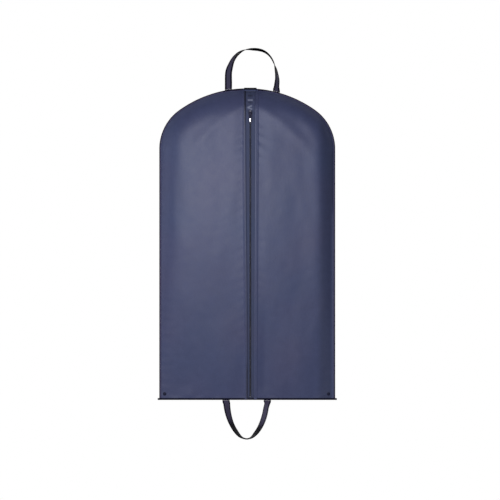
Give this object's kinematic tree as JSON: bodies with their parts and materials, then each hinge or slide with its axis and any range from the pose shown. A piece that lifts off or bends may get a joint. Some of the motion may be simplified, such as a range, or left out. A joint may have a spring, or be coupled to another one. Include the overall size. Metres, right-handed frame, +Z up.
{
  "type": "garment bag",
  "caption": "Hanging garment bag of navy cloth with bound edges, a straight front zip, a webbing handle at top and bottom, a hook slot and press studs; folds in half for carrying.",
  "frame": {"origin": "middle of the hanger-hook slot at the top seam, on the zip line, in the plane of the edge seam", "axes": "+Z up the hanging bag, -Y out of the front with the zip, +X to the right as the front is seen"},
  "size_m": [0.619, 0.0552, 1.3519],
  "materials": {
    "bag_cloth": "satin",
    "binding_tape": "matte",
    "zip_tape": "matte",
    "zip_coil": "satin",
    "webbing": "matte",
    "stud_cap": "gloss",
    "small_metal": "satin",
    "slider_metal": "polished"
  },
  "bodies": {
    "upper_half": {"front_panel_left_upper": "bag_cloth", "front_panel_right_upper": "bag_cloth", "back_panel_upper": "bag_cloth", "zip_tape_left_upper": "zip_tape", "zip_tape_right_upper": "zip_tape", "zip_coil_left_upper": "zip_coil", "zip_coil_right_upper": "zip_coil", "zip_top_stop": "small_metal", "edge_binding_left_upper": "binding_tape", "edge_binding_right_upper": "binding_tape", "hook_slot_facing": "binding_tape", "top_handle_sewn_end_left": "webbing", "top_handle_sewn_end_right": "webbing"},
    "lower_half": {"front_panel_left_lower": "bag_cloth", "front_panel_right_lower": "bag_cloth", "back_panel_lower": "bag_cloth", "zip_tape_left_lower": "zip_tape", "zip_tape_right_lower": "zip_tape", "zip_coil_left_lower": "zip_coil", "zip_coil_right_lower": "zip_coil", "zip_bottom_stop": "small_metal", "edge_binding_left_lower": "binding_tape", "edge_binding_right_lower": "binding_tape", "bottom_binding": "binding_tape", "bottom_handle_sewn_end_left": "webbing", "bottom_handle_sewn_end_right": "webbing", "stud_cap_left": "stud_cap", "stud_cap_right": "stud_cap", "stud_ring_left": "small_metal", "stud_ring_right": "small_metal"},
    "zip_slider": {"zip_slider_body": "slider_metal", "zip_slider_back_plate": "slider_metal"},
    "pull_tab": {"zip_pull_tab": "slider_metal"},
    "top_handle": {"top_handle_strap": "webbing"},
    "bottom_handle": {"bottom_handle_strap": "webbing"}
  },
  "joints": [
    {"name": "fold", "type": "hinge", "parent": "upper_half", "child": "lower_half", "pos_m": [0, 0.0138, -0.5385], "axis": [1, 0, 0], "range_deg": [0, 178]},
    {"name": "zip_slide", "type": "slide", "parent": "upper_half", "child": "zip_slider", "axis": [0, -0.0347, 0.9994], "range_m": [-0.962, 0]},
    {"name": "pull_swing", "type": "hinge", "parent": "zip_slider", "child": "pull_tab", "pos_m": [0, -0.03945, -0.09287], "axis": [-1, 0, 0], "range_deg": [0, 160]},
    {"name": "top_handle_swing", "type": "hinge", "parent": "upper_half", "child": "top_handle", "pos_m": [0.00742, 0, -0.00738], "axis": [0.999, 0, -0.045], "range_deg": [-75, 75]},
    {"name": "bottom_handle_swing", "type": "hinge", "parent": "lower_half", "child": "bottom_handle", "pos_m": [-0.0124, 0, -1.0786], "axis": [-1, 0, 0], "range_deg": [-90, 90]}
  ]
}
